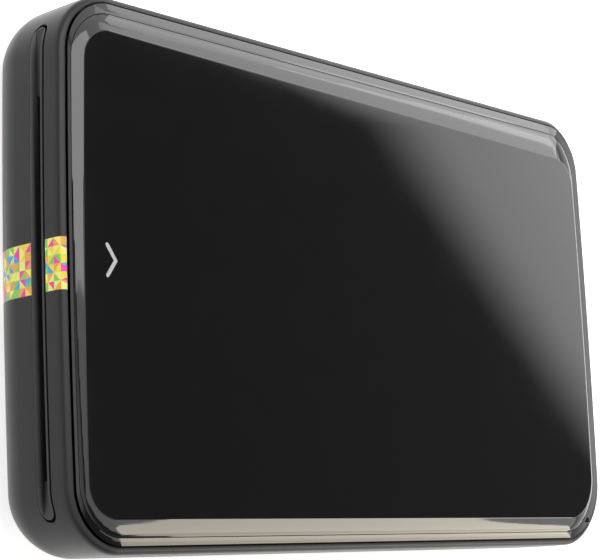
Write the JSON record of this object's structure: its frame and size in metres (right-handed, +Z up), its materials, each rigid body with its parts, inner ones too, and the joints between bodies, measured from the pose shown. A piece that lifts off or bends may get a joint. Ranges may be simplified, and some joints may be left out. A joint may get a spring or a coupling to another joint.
{
  "type": "compact photo printer",
  "caption": "Flat pocket photo printer: a sliding glossy cover over a paper bay, a geared roller path with a sprung print head, and an exit slot across one end.",
  "frame": {"origin": "middle of the footprint, on the surface that the feet stand on", "axes": "+X from the exit end to the rear end, +Y across the width, +Z up out of the cover"},
  "size_m": [0.12, 0.074, 0.019],
  "materials": {
    "housing_plastic": "fine textured dark grey",
    "cover_gloss": "piano black",
    "trim_plastic": "satin black",
    "inner_plastic": "black moulded plastic",
    "button_plastic": "dark grey",
    "plate_film": "bare film",
    "foot_rubber": "black rubber",
    "roller_rubber": "ground rubber",
    "spring_steel": "stamped spring steel",
    "frame_steel": "zinc plated sheet",
    "shaft_steel": "ground steel",
    "screw_steel": "zinc plated",
    "motor_steel": "deep drawn can",
    "bronze": "sintered bronze",
    "pinion_brass": "brass",
    "gear_plastic": "natural acetal",
    "ceramic": "glazed ceramic board",
    "heat_sink_aluminium": "extruded aluminium",
    "flat_cable": "flat flexible cable",
    "board_green": "green solder mask",
    "chip_black": "black epoxy",
    "radio_can": "tin plated",
    "connector_white": "natural nylon",
    "clear_plastic": "clear",
    "lead_wire": "insulated wire",
    "cell_foil": "foil pouch"
  },
  "bodies": {
    "base": {"base_housing": "housing_plastic", "exit_bezel": "trim_plastic", "rating_plate": "plate_film", "rubber_feet": "foot_rubber", "paper_tray": "inner_plastic", "cover_detent_spring": "spring_steel", "roller_frame": "frame_steel", "frame_screws": "screw_steel", "shaft_bushes": "bronze", "pinch_springs": "spring_steel", "gear_studs": "shaft_steel", "motor_body": "motor_steel", "motor_screws": "screw_steel", "motor_leads": "lead_wire", "head_pivot_pin": "shaft_steel", "head_springs": "spring_steel", "head_flat_cable": "flat_cable", "sensor_pin": "shaft_steel", "paper_sensor": "chip_black", "main_board": "board_green", "board_parts": "chip_black", "radio_module": "radio_can", "usb_socket": "radio_can", "power_switch": "chip_black", "reset_switch": "chip_black", "status_lights": "connector_white", "light_pipes": "clear_plastic", "board_screws": "screw_steel", "battery_cells": "cell_foil", "battery_plug": "connector_white", "battery_leads": "lead_wire", "tray_screws": "screw_steel"},
    "cover": {"top_cover": "cover_gloss", "cover_leaf_springs": "spring_steel", "leaf_spring_rivets": "trim_plastic"},
    "platen": {"platen_rubber": "roller_rubber", "platen_shaft": "shaft_steel", "platen_gear": "gear_plastic"},
    "feed": {"feed_rubber": "roller_rubber", "feed_shaft": "shaft_steel", "feed_gear": "gear_plastic"},
    "pinch": {"pinch_roller": "shaft_steel"},
    "pick": {"pick_tyres": "roller_rubber", "pick_shaft": "shaft_steel", "pick_gear": "gear_plastic"},
    "feed_idler": {"feed_idler_gear": "gear_plastic"},
    "pick_idler": {"pick_idler_gear": "gear_plastic"},
    "reduction": {"reduction_gear": "gear_plastic"},
    "motor_rotor": {"motor_shaft": "shaft_steel", "motor_pinion": "pinion_brass"},
    "head": {"head_heat_sink": "heat_sink_aluminium", "head_ceramic_board": "ceramic"},
    "sensor": {"sensor_lever": "inner_plastic"},
    "power_key": {"power_button": "button_plastic", "switch_plunger": "connector_white"},
    "reset_key": {"reset_plunger": "connector_white"}
  },
  "joints": [
    {"name": "cover_slide", "type": "slide", "parent": "base", "child": "cover", "axis": [1, 0, 0], "range_m": [0, 0.088], "deforming": ["cover_leaf_springs"]},
    {"name": "platen_spin", "type": "hinge", "parent": "base", "child": "platen", "pos_m": [-0.041, 0, 0.00895], "axis": [0, 1, 0], "continuous": true},
    {"name": "feed_spin", "type": "hinge", "parent": "base", "child": "feed", "pos_m": [-0.0505, 0, 0.01045], "axis": [0, 1, 0], "continuous": true},
    {"name": "pinch_spin", "type": "hinge", "parent": "base", "child": "pinch", "pos_m": [-0.0505, 0, 0.0152], "axis": [0, 1, 0], "continuous": true},
    {"name": "pick_spin", "type": "hinge", "parent": "base", "child": "pick", "pos_m": [-0.027, 0, 0.0066], "axis": [0, 1, 0], "continuous": true},
    {"name": "feed_idler_spin", "type": "hinge", "parent": "base", "child": "feed_idler", "pos_m": [-0.04733, 0, 0.00596], "axis": [0, 1, 0], "continuous": true},
    {"name": "pick_idler_spin", "type": "hinge", "parent": "base", "child": "pick_idler", "pos_m": [-0.0335, 0, 0.00919], "axis": [0, 1, 0], "continuous": true},
    {"name": "reduction_spin", "type": "hinge", "parent": "base", "child": "reduction", "pos_m": [-0.02109, 0, 0.0093], "axis": [0, 1, 0], "continuous": true},
    {"name": "motor_spin", "type": "hinge", "parent": "base", "child": "motor_rotor", "pos_m": [-0.01399, 0, 0.0056], "axis": [0, 1, 0], "continuous": true},
    {"name": "head_hinge", "type": "hinge", "parent": "base", "child": "head", "pos_m": [-0.0355, 0, 0.0148], "axis": [0, 1, 0], "range_deg": [0, 2], "stiffness_Nm_per_rad": 0.2, "springref_deg": -11.46, "deforming": ["head_springs"]},
    {"name": "sensor_tilt", "type": "hinge", "parent": "base", "child": "sensor", "pos_m": [-0.0338, 0.02, 0.0072], "axis": [0, -1, 0], "range_deg": [0, 25], "stiffness_Nm_per_rad": 0.0005, "springref_deg": -8.59},
    {"name": "power_press", "type": "slide", "parent": "base", "child": "power_key", "axis": [-1, 0, 0], "range_m": [0, 0.0004], "stiffness_N_per_m": 2000, "springref_m": -0.0001},
    {"name": "reset_press", "type": "slide", "parent": "base", "child": "reset_key", "axis": [-1, 0, 0], "range_m": [0, 0.00025], "stiffness_N_per_m": 2000, "springref_m": -0.0001}
  ],
  "couplings": [
    {"joint": "feed_idler_spin", "follows": "platen_spin", "ratio": -1.3333},
    {"joint": "feed_spin", "follows": "platen_spin", "ratio": 1.6},
    {"joint": "pinch_spin", "follows": "platen_spin", "ratio": -2},
    {"joint": "pick_idler_spin", "follows": "platen_spin", "ratio": -1.1429},
    {"joint": "pick_spin", "follows": "platen_spin", "ratio": 1.1429},
    {"joint": "reduction_spin", "follows": "platen_spin", "ratio": -1.3333},
    {"joint": "motor_spin", "follows": "platen_spin", "ratio": 2.9333}
  ]
}
